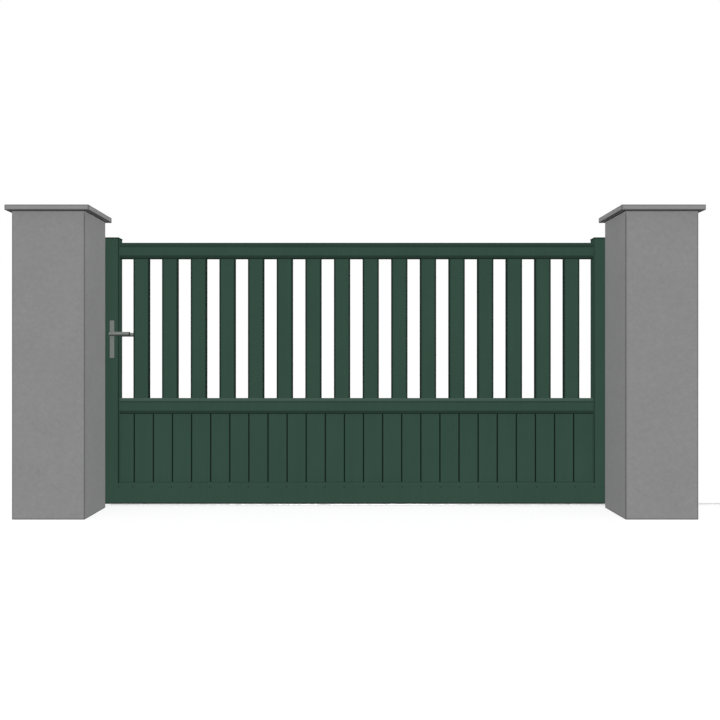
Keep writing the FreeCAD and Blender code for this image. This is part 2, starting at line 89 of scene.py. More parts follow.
def cells(tree, coords, scale, output):
    return addNode(tree, "TexVoronoi", {"Vector": coords, "Scale": scale}).outputs[output]


def spread(tree, factor, low, high, start=0.3, end=0.7):
    links = {"Value": factor, "From Min": start, "From Max": end, "To Min": low, "To Max": high}
    return addNode(tree, "MapRange", links).outputs["Result"]


def sums(tree, operation, first, second):
    return addNode(tree, "Math", {0: first, 1: second}, operation=operation).outputs[0]


def weighted(tree, factors, shares):
    parts = [sums(tree, "MULTIPLY", factor, share) for factor, share in zip(factors, shares)]
    total = parts[0]
    for part in parts[1:]:
        total = sums(tree, "ADD", total, part)
    return total


def along(tree, vector, axis):
    return addNode(tree, "SeparateXYZ", {"Vector": vector}).outputs[axis]


def upward(tree):                 # 1 on what faces up, -1 on what faces down
    return along(tree, addNode(tree, "NewGeometry").outputs["True Normal"], "Z")


def shade(colour, factor):
    return tuple(channel * factor for channel in colour)


def colours(tree, factor, base, tones):
    ramp = addNode(tree, "ValToRGB", {"Fac": factor})
    marks = ramp.color_ramp.elements
    while len(marks) < len(tones):
        marks.new(0.5)
    for mark, (place, share) in zip(marks, tones):
        mark.position = place
        mark.color = (*shade(base, share), 1)
    return ramp.outputs["Color"]


def mix(tree, factor, first, second):
    links = {"Factor": factor}
    for socket, colour in ((6, first), (7, second)):
        links[socket] = colour if isinstance(colour, bpy.types.NodeSocket) else (*colour, 1)
    return addNode(tree, "Mix", links, data_type="RGBA").outputs[2]


def bump(tree, height, strength, distance, under=None):
    links = {"Height": height, "Strength": strength, "Distance": distance}
    if under:
        links["Normal"] = under
    return addNode(tree, "Bump", links).outputs["Normal"]


# painted shade lines along corners, broken into patches
cornerShadeSpread = {"patches": (38, 4, 0.65), "strength": (0.92, 1.08)}


def paintCornerShade(tree, coords, colour, shadeColour):   # painted shade along the corners: the attribute is 1 along a corner and 0 on the flats
    cornerShade = addNode(tree, "Attribute", attribute_name="cornerShade").outputs["Fac"]
    patches = spread(tree, noise(tree, coords, *cornerShadeSpread["patches"]), *cornerShadeSpread["strength"])
    links = {0: cornerShade, 1: patches}
    factor = addNode(tree, "Math", links, operation="MULTIPLY", use_clamp=True).outputs[0]
    return mix(tree, factor, colour, shadeColour)


# finishes
# a noise is given as its scale per metre, detail and roughness, a relief as its strength and
# its depth in metres, and tones as places on a noise with the share of the colour there

greenCoat = {
    "colour": (0.0356, 0.0721, 0.0537),
    "drift": (2.3, 5, 0.6),          # slow change of tone along the profiles
    "streaks": (46, 3, 0.6),         # faint traces of rain
    "streakStretch": (1, 1, 0.03),
    "grain": (900, 2, 0.6),          # fine-textured powder coat
    "shares": (0.45, 0.3, 0.25),     # of drift, streaks and grain
    "tones": ((0.34, 0.93), (0.66, 1.07)),
    "patches": (17, 4, 0.65),
    "roughness": (0.6, 0.74),
    "specular": 0.0,
    "peel": (160, 1),
    "peelRelief": (0.2, 0.00025),
    "grainRelief": (0.7, 0.00025),
    "edgeShadeTone": 0.24,                # the painted shade line along each corner
    "dust": (0.062, 0.097, 0.082),   # film of dust and painted light on what faces up
    "dustAndLightFrom": (0.3, 0.8),
    # painted shade inside the hollow bottom rail
    "insideShadeTone": 0.12,
    "plugTone": 0.55,                # plastic cover plugs
}
boardJoints = {
    "pitch": 0.117,
    "grooveShadeTone": 0.17,              # painted shade and grime in the joints of the lower boards
    "grooveWidth": 0.0042,
    "grooveFade": (0.8, 1.15),       # shares of that width
    "endStrip": (1 / 3, 1 / 4),      # shares of the pitch: no joint at the right edge of the field
    "footShadeTone": 0.6,                 # painted shade along the feet
    "footHeight": 0.0035,
}


# painted shade and grime across each groove, painted shade along the boards' feet
def shadeAndGrimeJoints(tree, coords, colour, base):
    first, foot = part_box("infill_boards")[1].x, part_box("bottom_rail")[1].z
    pitch, height = boardJoints["pitch"], boardJoints["footHeight"]
    across, rise = along(tree, coords, "X"), along(tree, coords, "Z")
    away = sums(tree, "PINGPONG", sums(tree, "SUBTRACT", across, first), pitch / 2)
    fade = [boardJoints["grooveWidth"] * share for share in boardJoints["grooveFade"]]
    strip = [first - pitch * share for share in boardJoints["endStrip"]]
    clean = sums(tree, "MAXIMUM", spread(tree, away, 0, 1, *fade), spread(tree, across, 0, 1, *strip))
    colour = mix(tree, clean, shade(base, boardJoints["grooveShadeTone"]), colour)
    clean = spread(tree, rise, 0, 1, foot + height / 2, foot + height)
    return mix(tree, clean, shade(base, boardJoints["footShadeTone"]), colour)


def makeGreenCoat(name, tone=1.0, boards=False, dustAndTopLight=False):
    finish, tree, shader, coords = startFinish(name)
    base = shade(greenCoat["colour"], tone)
    drift = noise(tree, coords, *greenCoat["drift"])
    streaks = noise(tree, stretch(tree, coords, greenCoat["streakStretch"]), *greenCoat["streaks"])
    grain = noise(tree, coords, *greenCoat["grain"])
    total = weighted(tree, (drift, streaks, grain), greenCoat["shares"])
    colour = colours(tree, total, base, greenCoat["tones"])
    # a film of dust and painted light on what faces up
    if dustAndTopLight:
        dustAndLightMask = spread(tree, upward(tree), 0, 1, *greenCoat["dustAndLightFrom"])
        colour = mix(tree, dustAndLightMask, colour, greenCoat["dust"])
    # painted shade lines along the corners
    colour = paintCornerShade(tree, coords, colour, shade(base, greenCoat["edgeShadeTone"]))
    # painted shade and grime in the joints, painted shade along the feet
    if boards:
        colour = shadeAndGrimeJoints(tree, coords, colour, base)
    patches = noise(tree, coords, *greenCoat["patches"])
    peel = bump(tree, noise(tree, coords, *greenCoat["peel"]), *greenCoat["peelRelief"])
    wire(tree, shader, {
        "Base Color": colour,
        "Roughness": spread(tree, patches, *greenCoat["roughness"]),
        "Normal": bump(tree, grain, *greenCoat["grainRelief"], peel),
        "Specular IOR Level": greenCoat["specular"],
    })
    return finish


cementRender = {
    "colour": (0.246, 0.246, 0.246),
    "clouds": (4.2, 5, 0.6),
    "sweeps": (50, 3, 0.6),          # marks of the float
    "sweepLeans": (38, -47),         # degrees: the float is drawn across both ways
    "sweepStretch": (1, 1, 0.22),
    "specks": (130, 3, 0.7),
    "shares": (0.18, 0.45, 0.37),    # of clouds, sweeps and specks
    "tones": ((0.36, 0.9), (0.5, 1), (0.64, 1.1)),
    "sand": (620, 3, 0.7),
    "sweepRelief": (0.3, 0.0012),
    "sandRelief": (0.6, 0.0008),
    "roughness": (0.82, 0.96),
    "specular": 0.1,
    # painted shade line along the corners
    "edgeShadeTone": 0.45,
}


def makeCementRender(name):
    finish, tree, shader, coords = startFinish(name)
    base = cementRender["colour"]
    clouds = noise(tree, coords, *cementRender["clouds"])
    drawn = []
    for lean in cementRender["sweepLeans"]:
        links = {"Vector": coords, "Rotation": (math.radians(lean), math.radians(lean), 0)}
        turned = addNode(tree, "Mapping", links).outputs["Vector"]
        stroke = stretch(tree, turned, cementRender["sweepStretch"])
        drawn.append(noise(tree, stroke, *cementRender["sweeps"]))
    sweeps = weighted(tree, drawn, (0.5, 0.5))
    specks = noise(tree, coords, *cementRender["specks"])
    total = weighted(tree, (clouds, sweeps, specks), cementRender["shares"])
    colour = colours(tree, total, base, cementRender["tones"])
    sand = noise(tree, coords, *cementRender["sand"])
    relief = bump(tree, sweeps, *cementRender["sweepRelief"])
    wire(tree, shader, {
        # with painted shade lines along the corners
        "Base Color": paintCornerShade(tree, coords, colour, shade(base, cementRender["edgeShadeTone"])),
        "Roughness": spread(tree, specks, *cementRender["roughness"]),
        "Normal": bump(tree, sand, *cementRender["sandRelief"], relief),
        "Specular IOR Level": cementRender["specular"],
    })
    return finish


castCoping = {
    "colour": (0.260, 0.260, 0.260),
    "clouds": (6, 6, 0.6),
    "tones": ((0.3, 0.94), (0.7, 1.05)),
    "pits": 95,                      # air holes per metre
    "pitSize": (0.096, 0.16),        # floor and rim of a hole, on the scale of its cell
    "pitTone": 0.6,
    "pitRelief": (0.5, 0.0008),
    "sand": (700, 3, 0.7),
    "sandRelief": (0.35, 0.0004),
    "roughness": (0.75, 0.9),
    "specular": 0.1,
    # painted shade line along the corners
    "edgeShadeTone": 0.4,
    "soffitShadeTone": 0.42,              # painted shade under the overhang
    "soffitShadeTones": ((0.3, 0.9), (0.7, 1.1)),
    "soffitShadeFacing": (-0.9, -0.5),
}


def makeCastCoping(name):
    finish, tree, shader, coords = startFinish(name)
    base = castCoping["colour"]
    clouds = noise(tree, coords, *castCoping["clouds"])
    holes = cells(tree, coords, castCoping["pits"], "Distance")
    pits = spread(tree, holes, 0, 1, *castCoping["pitSize"])
    colour = colours(tree, clouds, base, castCoping["tones"])
    colour = mix(tree, pits, shade(base, castCoping["pitTone"]), colour)
    # painted shade lines along the corners
    colour = paintCornerShade(tree, coords, colour, shade(base, castCoping["edgeShadeTone"]))
    # painted shade on what faces down
    shadedSoffitColour = shade(base, castCoping["soffitShadeTone"])
    soffitShade = colours(tree, clouds, shadedSoffitColour, castCoping["soffitShadeTones"])
    below = spread(tree, upward(tree), 1, 0, *castCoping["soffitShadeFacing"])
    sand = noise(tree, coords, *castCoping["sand"])
    relief = bump(tree, pits, *castCoping["pitRelief"])
    wire(tree, shader, {
        "Base Color": mix(tree, below, colour, soffitShade),
        "Roughness": spread(tree, clouds, *castCoping["roughness"]),
        "Normal": bump(tree, sand, *castCoping["sandRelief"], relief),
        "Specular IOR Level": castCoping["specular"],
    })
    return finish


handleGrey = {
    "colour": (0.150, 0.162, 0.152),
    "flakes": (1500, 2, 0.7),        # speckle of the grey anodising
    "clouds": (60, 4, 0.6),
    "shares": (0.5, 0.5),            # of flakes and clouds
    "tones": ((0.35, 0.86), (0.65, 1.14)),
    "relief": (0.2, 0.0001),
    "roughness": (0.42, 0.6),
    "metallic": 0.15,
    "specular": 0.2,
    "undersideShadeTone": 0.42,               # painted shade on what faces down
    "undersideShadeFacing": (-0.9, -0.3),
    "rimShadeTone": 0.62,                 # painted shade round the plates
    "leverTone": 1.12,
    "tipTone": 0.16,                 # black end caps of the levers
    "tipLength": 0.005,
    "tipFade": 0.92,                 # share of that length
}


def makeHandleGrey(name, tone=1.0, tip=None):   # tip is where the lever ends
    finish, tree, shader, coords = startFinish(name)
    base = shade(handleGrey["colour"], tone)
    flakes = noise(tree, coords, *handleGrey["flakes"])
    clouds = noise(tree, coords, *handleGrey["clouds"])
    total = weighted(tree, (flakes, clouds), handleGrey["shares"])
    colour = colours(tree, total, base, handleGrey["tones"])
    # painted shade on what faces down
    undersideShade = spread(tree, upward(tree), 1, 0, *handleGrey["undersideShadeFacing"])
    colour = mix(tree, undersideShade, colour, shade(base, handleGrey["undersideShadeTone"]))
    if tip is not None:
        length = handleGrey["tipLength"]
        ends = tip - length, tip - length * handleGrey["tipFade"]
        capped = spread(tree, along(tree, coords, "X"), 0, 1, *ends)
        colour = mix(tree, capped, colour, shade(base, handleGrey["tipTone"]))
    wire(tree, shader, {
        "Base Color": colour,
        "Roughness": spread(tree, clouds, *handleGrey["roughness"]),
        "Normal": bump(tree, flakes, *handleGrey["relief"]),
        "Metallic": handleGrey["metallic"],
        "Specular IOR Level": handleGrey["specular"],
    })
    return finish


zincCoat = {
    "colour": (0.27, 0.28, 0.29),
    "spangle": 70,                   # zinc crystals per metre
    "wobble": (40, 3),
    "shares": (0.6, 0.4),            # of spangle and wobble
    "tones": ((0.2, 0.76), (0.8, 1.14)),
    "relief": (0.15, 0.0003),
    "roughness": (0.45, 0.65),
    "metallic": 0.35,
}
trackZinc = {
    **zincCoat,
    "colour": (0.36, 0.37, 0.38),
    "spangle": 60,
    "roughness": (0.5, 0.75),
    "metallic": 0.2,
    "dust": (0.66, 0.66, 0.65),      # pale with dust across the passage
    "dustTones": ((0.3, 0.93), (0.7, 1.05)),
    "dustyTo": (2.35, 2.9),          # metres along the track
    "bareFrom": (0.0065, 0.0078),    # the wheels keep the head bare
}


def makeZincCoat(name, zinc):
    finish, tree, shader, coords = startFinish(name)
    wobble = noise(tree, coords, *zinc["wobble"])
    crystals = cells(tree, coords, zinc["spangle"], "Color")
    channels = addNode(tree, "SeparateColor", {"Color": crystals}).outputs
    total = weighted(tree, (channels[0], wobble), zinc["shares"])
    colour = colours(tree, total, zinc["colour"], zinc["tones"])
    if "dust" in zinc:
        clean = spread(tree, along(tree, coords, "X"), 0, 1, *zinc["dustyTo"])
        bare = spread(tree, along(tree, coords, "Z"), 0, 1, *zinc["bareFrom"])
        dust = colours(tree, wobble, zinc["dust"], zinc["dustTones"])
        colour = mix(tree, sums(tree, "MAXIMUM", clean, bare), dust, colour)
    wire(tree, shader, {
        "Base Color": colour,
        "Roughness": spread(tree, channels[1], *zinc["roughness"], 0, 1),
        "Normal": bump(tree, wobble, *zinc["relief"]),
        "Metallic": zinc["metallic"],
    })
    return finish


rollerNylon = {
    "colour": (0.60, 0.585, 0.54),
    "clouds": (45, 4, 0.6),
    "tones": ((0.3, 0.93), (0.7, 1.05)),
    "skin": (900, 2),                # turning marks
    "skinStretch": (0.1, 0.1, 1),
    "relief": (0.15, 0.0001),
    "roughness": (0.4, 0.55),
}
bufferRubber = {
    "colour": (0.022, 0.022, 0.023),
    "clouds": (30, 5, 0.65),         # bloom
    "tones": ((0.35, 1), (0.75, 2)),
    "skin": (700, 2),
    "relief": (0.3, 0.0002),
    "roughness": (0.62, 0.85),
    "specular": 0.35,
}
screwSteel = {
    "colour": (0.58, 0.58, 0.57),
    "clouds": (420, 3, 0.6),
    "tones": ((0.3, 0.85), (0.7, 1.1)),
    "skin": (420, 3, 0.6),
    "relief": (0.1, 0.00005),
    "roughness": (0.25, 0.42),
    "metallic": 1.0,
}


def makeSmallFinish(name, look):
    finish, tree, shader, coords = startFinish(name)
    clouds = noise(tree, coords, *look["clouds"])
    if "skinStretch" in look:
        coords = stretch(tree, coords, look["skinStretch"])
    skin = noise(tree, coords, *look["skin"])
    wire(tree, shader, {
        "Base Color": colours(tree, clouds, look["colour"], look["tones"]),
        "Roughness": spread(tree, clouds, *look["roughness"]),
        "Normal": bump(tree, skin, *look["relief"]),
        "Metallic": look.get("metallic", 0.0),
        "Specular IOR Level": look.get("specular", 0.5),
    })
    return finish


finishes = {
    "leaf_green": makeGreenCoat("leafGreen", dustAndTopLight=True),
    "pillar_render": makeCementRender("pillarRender"),
    "pillar_coping": makeCastCoping("pillarCoping"),
    "handle_grey": makeHandleGrey("handleGrey"),
    "galvanised_steel": makeZincCoat("galvanisedSteel", zincCoat),
    "roller_nylon": makeSmallFinish("rollerNylon", rollerNylon),
    "buffer_rubber": makeSmallFinish("bufferRubber", bufferRubber),
}
# darker copy for painted shade round the lock plates
rimShadeGrey = makeHandleGrey("handleGreyRimShade", handleGrey["rimShadeTone"])
leverGrey = makeHandleGrey("leverGrey", handleGrey["leverTone"], tip=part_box("front_lever")[1].x)
footGreen = makeGreenCoat("leafGreenFoot")
# painted shade for the hollow inside of the bottom rail
insideShadeGreen = makeGreenCoat("leafGreenInsideShade", greenCoat["insideShadeTone"])
# darker copy for painted shade on softened edges
edgeShadeGreen = makeGreenCoat("leafGreenEdgeShade", greenCoat["edgeShadeTone"])
plugGreen = makeGreenCoat("leafGreenPlug", greenCoat["plugTone"])
boardGreen = makeGreenCoat("boardGreen", boards=True)
steel = makeSmallFinish("screwSteel", screwSteel)
paleZinc = makeZincCoat("trackZinc", trackZinc)
print("finishes made")


# merged copies of the long profiles and of the masonry, with rounded corners

alongX, alongY, alongZ = (1, 0, 0), (0, 1, 0), (0, 0, 1)

# run of each profile, radius of its corners, strength of the painted shade line on its left
# or upper corners, and how far from the edges that painted shade fades out
profiles = {
    "left_stile": {"run": alongZ, "radius": 0.0045, "sheltered": 0.5},
    "right_stile": {"run": alongZ, "radius": 0.0045, "sheltered": 0.5},
    "bottom_rail": {"run": alongX, "radius": 0.003},
    "middle_rail": {"run": alongX, "radius": 0.0025, "sheltered": 0},
    "top_rail": {"run": alongX, "radius": 0.0025, "sheltered": 0.5},
    **{name: {"run": alongZ, "radius": 0.006, "fade": 0.0135} for name in slatNodes},
}
profileFolds = {
    "fold": (12, 45),         # degrees that a fold turns through
    "corner": (45, 120),      # and a corner
    "shortest": 0.1,          # an edge along the profile is longer than this
    "parallel": 0.999,
    "foldRadius": 0.007,
    # painted shade line along the rails' upper folds
    "foldShade": 0.45,
    "lowerFoldRadius": 0.001,
    "fadeShade": 0.85,         # painted shade at the start of the fade beside a corner
    "lowerCornerRadius": 0.0034,     # the rails' lower corners, with painted shade fading up the lower chamfer
    "lowerChamferShade": 0.35,
    "footShadeHeight": 0.022,          # painted shade along the bottom rail's lower corners reaches up to this height
    "hollowFrom": 0.0025,     # faces deeper than this lie inside the bottom rail and take painted shade
}
blocks = {                    # radius of the edges, and width of the painted shade border beside them
    "left_pillar": (0.0035, 0.006),
    "right_pillar": (0.0035, 0.006),
    "left_pillar_cap": (0.003, 0.005),
    "right_pillar_cap": (0.003, 0.005),
    "left_stile_cap": (0.002, 0.003),
    "right_stile_cap": (0.002, 0.003),
}
blockShade = {
    "sharpFrom": 60,          # degrees
    # painted shade where a rounded edge meets the flats
    "border": 0.65,
    "smallest": 0.001,        # square metres of a face that gets a border
    "unshadedHead": 0.03,        # no painted shade lines on a pillar's head, under the coping
    "headBorders": 2,         # and its top edge, in widths of the border
    "lowerArrisShare": 0.4,            # a coping's lower arris keeps this share of its painted shade line
    "arrisBorders": 3,        # what lies so many widths of the border below the top
    "grooveInset": 0.009,     # painted shade fills the drip groove, further in than this
}
meshCleaning = {
    "mergeDistance": 0.00002,
    "flatAngle": 0.5,         # degrees
    "sliver": 0.00001,
}
slotOf = {part["node"]: part["material_slot"] for part in frame["record"]["subparts"]}
bodies = frame["record"]["behaviour"]["bodies"]
bodyOf = {name: body for body, members in bodies.items() for name in members}


def addPiece(name, form, body, slot, *worn):
    mesh = bpy.data.meshes.new(name)
    form.to_mesh(mesh)
    form.free()
    for finish in worn:
        mesh.materials.append(finish)
    piece = bpy.data.objects.new(name, mesh)
    bpy.context.scene.collection.objects.link(piece)
    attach(piece, body)
    return piece


def copyNode(name):
    form = bmesh.new()
    form.from_mesh(nodes[name].data)
    bmesh.ops.remove_doubles(form, verts=form.verts, dist=meshCleaning["mergeDistance"])
    flatAngle = math.radians(meshCleaning["flatAngle"])
    bmesh.ops.dissolve_limit(form, angle_limit=flatAngle, verts=form.verts, edges=form.edges)
    # per-vertex strength of the painted shade along corners
    form.verts.layers.float.new("cornerShade")
    return form


def longEdges(form, run, turn, chosen):
    least, most = (math.radians(angle) for angle in profileFolds[turn])
    centre = sum((vert.co for vert in form.verts), Vector()) / len(form.verts)
    found = []
    for edge in form.edges:
        start = edge.verts[0].co
        line = edge.verts[1].co - start
        if len(edge.link_faces) < 2 or line.length < profileFolds["shortest"]:
            continue
        if abs(line.dot(run)) < profileFolds["parallel"] * line.length or not chosen(start):
            continue
        outwards = sum((face.normal for face in edge.link_faces), Vector())
        if outwards.dot(start - centre) > 0 and least < edge.calc_face_angle() < most:
            found.append(edge)
    return found


def roundEdges(form, edges, radius, cornerShade, run=None, beside=0):
    cornerShadeLayer = form.verts.layers.float["cornerShade"]
    made = bmesh.ops.bevel(form, geom=edges, offset=radius, offset_type="OFFSET", affect="EDGES",
                           segments=4, profile=0.5, material=-1, clamp_overlap=False)
    arc = set(made["faces"])

    def isFlat(face):         # neither on the arc nor at the end of a profile
        return face not in arc and not (run and abs(face.normal.dot(run)) > 0.5)

    for face in arc:
        face.smooth = True
        for vert in face.verts:   # painted shade along the middle of the arc, less where it meets the flats
            vert[cornerShadeLayer] = beside if any(map(isFlat, vert.link_faces)) else cornerShade


def cutAcross(form, point, across):
    geom = form.verts[:] + form.edges[:] + form.faces[:]
    return bmesh.ops.bisect_plane(form, geom=geom, plane_co=point, plane_no=across)["geom_cut"]


def endFade(form, point, across):     # no painted corner shade from this line on
    cornerShadeLayer = form.verts.layers.float["cornerShade"]
    for item in cutAcross(form, point, across):
        if isinstance(item, bmesh.types.BMVert):
            item[cornerShadeLayer] = 0


def shapeBottomRail(form, run, low, high, radius):
    middle = (low.z + high.z) / 2
    # faces inside the hollow take the second slot, painted shade
    for face in form.faces:
        place = face.calc_center_median()
        inward = [min(place[axis] - low[axis], high[axis] - place[axis]) for axis in (1, 2)]
        if min(inward) > profileFolds["hollowFrom"]:
            face.material_index = 1
    # no painted shade on the shoulders; painted shade along the lower corners
    shoulders = longEdges(form, run, "corner", lambda at: at.z > middle)
    roundEdges(form, shoulders, radius, 0, run)
    feet = longEdges(form, run, "corner", lambda at: at.z < middle and abs(at.y) > high.y - radius)
    roundEdges(form, feet, radius, 1, run, 1)
    endFade(form, (0, 0, profileFolds["footShadeHeight"]), alongZ)


def shapeUpright(form, run, low, high, radius, sheltered=1, fade=0):
    middle = (low.x + high.x) / 2
    beside = profileFolds["fadeShade"] if fade else 0
    # painted shade lines along the corners, full on the right ones
    left = longEdges(form, run, "corner", lambda at: at.x < middle)
    roundEdges(form, left, radius, sheltered, run, beside)
    right = longEdges(form, run, "corner", lambda at: at.x > middle + radius)
    roundEdges(form, right, radius, 1, run, beside)
    if fade:
        endFade(form, (low.x + fade, 0, 0), alongX)
        endFade(form, (high.x - fade, 0, 0), alongX)


def shapeRail(form, run, low, high, radius, sheltered):   # of the folds, only the upper ones carry painted shade lines
    def above(at):
        return at.z > (low.z + high.z) / 2

    def below(at):
        return not above(at)

    folds = profileFolds
    roundEdges(form, longEdges(form, run, "fold", above), folds["foldRadius"], folds["foldShade"], run)
    roundEdges(form, longEdges(form, run, "fold", below), folds["lowerFoldRadius"], 0, run)
    roundEdges(form, longEdges(form, run, "corner", above), radius, sheltered, run)
    lower = longEdges(form, run, "corner", below)
    roundEdges(form, lower, folds["lowerCornerRadius"], 1, run, folds["lowerChamferShade"])


def dressProfile(name, run, **settings):
    run = Vector(run)
    form = copyNode(name)
    shape = shapeBottomRail if name == "bottom_rail" else shapeUpright if run.z else shapeRail
    shape(form, run, *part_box(name), **settings)
    bmesh.ops.dissolve_degenerate(form, dist=meshCleaning["sliver"], edges=form.edges)
    outside = footGreen if name == "bottom_rail" else finishes[slotOf[name]]
    piece = addPiece(name + "_profile", form, bodyOf[name], slotOf[name], outside, insideShadeGreen)
    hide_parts(name)


def unshadedHead(form, top, border):
    cornerShadeLayer = form.verts.layers.float["cornerShade"]
    cutAcross(form, (0, 0, top - blockShade["unshadedHead"]), alongZ)
    for vert in form.verts:
        if vert.co.z > top - blockShade["headBorders"] * border and vert[cornerShadeLayer] < 1:
            vert[cornerShadeLayer] = 0


def copingArrisAndGrooveShade(form, low, high, border):
    cornerShadeLayer = form.verts.layers.float["cornerShade"]
    for vert in form.verts:
        inward = [min(vert.co[axis] - low[axis], high[axis] - vert.co[axis]) for axis in (0, 1)]
        if vert.co.z < high.z - blockShade["arrisBorders"] * border:
            if min(inward) > blockShade["grooveInset"]:
                vert[cornerShadeLayer] = 1
            elif max(inward) > blockShade["grooveInset"]:
                vert[cornerShadeLayer] *= blockShade["lowerArrisShare"]


def dressBlock(name, radius, border):
    form = copyNode(name)
    low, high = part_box(name)
    cornerShadeLayer = form.verts.layers.float["cornerShade"]
    sharp = math.radians(blockShade["sharpFrom"])
    edges = [edge for edge in form.edges if edge.is_convex and edge.calc_face_angle() > sharp]
    # painted shade along the rounded edges, fading out across a border on the flats
    roundEdges(form, edges, radius, 1, beside=blockShade["border"])
    flats = [face for face in form.faces if len(face.verts) == 4 and not face.smooth
             and face.calc_area() > blockShade["smallest"]]
    bmesh.ops.inset_individual(form, faces=flats, thickness=border, use_even_offset=True)
    for face in flats:
        for vert in face.verts:
            vert[cornerShadeLayer] = 0
    if name.endswith("pillar"):
        unshadedHead(form, high.z, border)
    if name.endswith("pillar_cap"):
        copingArrisAndGrooveShade(form, low, high, border)
    piece = addPiece(name + "_rounded", form, bodyOf[name], slotOf[name], finishes[slotOf[name]])
    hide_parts(name)


for name, settings in profiles.items():
    dressProfile(name, **settings)
for name, settings in blocks.items():
    dressBlock(name, *settings)
print("profiles and masonry rounded:", len(profiles) + len(blocks))


# the other solid nodes keep their shape and get their finish and softened edges

edgeRounding = {              # metres
    "rail_end_cap": 0.0015,
    "lock_plate": 0.0022,
    "lever": 0.0022,
    "rollers": 0.0018,
    "other": 0.0007,
}
sharpEdges = {"lever": 55, "other": 30}   # degrees from which an edge is softened
plainNodes = {"infill_boards", "wheels"}
ownFinish = {
    "infill_boards": boardGreen,
    "ground_track": paleZinc,
    "front_lever": leverGrey,
    "rear_lever": leverGrey,
}


def roundingOf(name):
    for ending, width in edgeRounding.items():
        if name.endswith("_" + ending):
            return width
    return edgeRounding["other"]


def softenEdges(node, width, edgeSlot, fromAngle):
    weld = node.modifiers.new("weld", "WELD")
    weld.merge_threshold = meshCleaning["mergeDistance"]
    flat = node.modifiers.new("flat faces", "DECIMATE")
    flat.decimate_type = "DISSOLVE"
    flat.angle_limit = math.radians(meshCleaning["flatAngle"])
    soft = node.modifiers.new("soft edges", "BEVEL")
    soft.width = width
    soft.segments = 3
    soft.limit_method = "ANGLE"
    soft.angle_limit = math.radians(fromAngle)
    soft.material = edgeSlot
    normals = node.modifiers.new("normals", "WEIGHTED_NORMAL")
    normals.keep_sharp = True


for name, node in nodes.items():
    if name in profiles or name in blocks:
        continue
    slot = slotOf[name]
    node.data.materials.clear()
    node.data.materials.append(ownFinish.get(name, finishes[slot]))
    if name in plainNodes:
        continue
    # softened edges of the leaf's parts and of the lock plates take a darker copy: painted shade
    edgeSlot = -1
    if slot == "leaf_green" or name.endswith("lock_plate"):
        node.data.materials.append(edgeShadeGreen if slot == "leaf_green" else rimShadeGrey)
        edgeSlot = 1
    fromAngle = sharpEdges["lever" if name.endswith("_lever") else "other"]
    softenEdges(node, roundingOf(name), edgeSlot, fromAngle)
print("solid nodes finished")


# fasteners and small fittings, several of a kind in one piece

hexBolt = {                   # each turned form: radius, height, sides and rounding of its rim
    "washer": (0.0105, 0.002, 32, 0.0004),
    "head": (0.017 / math.sqrt(3), 0.0064, 6, 0.0009),   # 17 mm across flats
    "stud": (0.005, 0.004, 20, 0.0008),
}
starScrew = {
    "head": (0.0042, 0.0009, 24, 0.0004),
    "land": 0.0014,           # flat ring between the rim and the recess
    "recessDepth": 0.0007,
    "lobes": 6,
    "lobeDepth": 0.16,
}
coverPlug = {"dome": (0.0095, 0.0022, 32, 0.00198)}


def addRound(form, lift, radius, height, sides, rim):
    middle = lift + height / 2
    made = bmesh.ops.create_cone(form, cap_ends=True, segments=sides, radius1=radius, radius2=radius,
                                 depth=height, matrix=Matrix.Translation((0, 0, middle)))
    top = [edge for edge in form.edges if edge.verts[0] in made["verts"]
           and all(vert.co.z > middle for vert in edge.verts)]
    bmesh.ops.bevel(form, geom=top, offset=rim, offset_type="OFFSET", affect="EDGES", segments=3,
                    profile=0.5, material=-1)
    return lift + height


def makeBolt():
    form = bmesh.new()
    lift = 0
    for turned in hexBolt.values():
        lift = addRound(form, lift, *turned)
    return form


def makeScrew():
    form = bmesh.new()
    addRound(form, 0, *starScrew["head"])
    form.normal_update()
    top = max(form.faces, key=lambda face: face.calc_center_median().z * (face.normal.z > 0.99))
    bmesh.ops.inset_region(form, faces=[top], thickness=starScrew["land"])
    for vert in top.verts:    # lobes round the recess
        turn = math.atan2(vert.co.y, vert.co.x)
        vert.co.xy *= 1 + starScrew["lobeDepth"] * math.cos(starScrew["lobes"] * turn)
    sunk = bmesh.ops.extrude_face_region(form, geom=[top])["geom"]
    floor = [item for item in sunk if isinstance(item, bmesh.types.BMVert)]
    bmesh.ops.translate(form, vec=(0, 0, -starScrew["recessDepth"]), verts=floor)
    bmesh.ops.delete(form, geom=[top], context="FACES")
    return form


def makePlug():
    form = bmesh.new()
    addRound(form, 0, *coverPlug["dome"])
    return form


def setOut(name, make, places, axis, body="pillars", slot="galvanised_steel", finish=steel):
    total = bmesh.new()
    turn = Vector((0, 0, 1)).rotation_difference(Vector(axis)).to_matrix().to_4x4()
    for place in places:
        form = make()
        bmesh.ops.transform(form, matrix=Matrix.Translation(place) @ turn, verts=form.verts)
        single = bpy.data.meshes.new("single")
        form.to_mesh(single)
        form.free()
        total.from_mesh(single)
        bpy.data.meshes.remove(single)
    addPiece(name, total, body, slot, finish)


bracketBolts = {"plate": 0.006, "inset": 0.024, "drops": (0.085, 0.034)}
low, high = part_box("guide_bracket")
setOut("bracket_bolts", makeBolt,
       [(x, low.y + bracketBolts["plate"], high.z - drop)
        for x in (low.x + bracketBolts["inset"], high.x - bracketBolts["inset"])
        for drop in bracketBolts["drops"]], alongY)

receiverBolts = {"wall": 0.003, "inset": 0.028, "lowest": 0.06, "spacing": 0.42, "count": 4}
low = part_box("receiver_channel")[0]
setOut("receiver_bolts", makeBolt,
       [(low.x + receiverBolts["inset"], low.y + receiverBolts["wall"],
         low.z + receiverBolts["lowest"] + step * receiverBolts["spacing"])
        for step in range(receiverBolts["count"])], alongY)

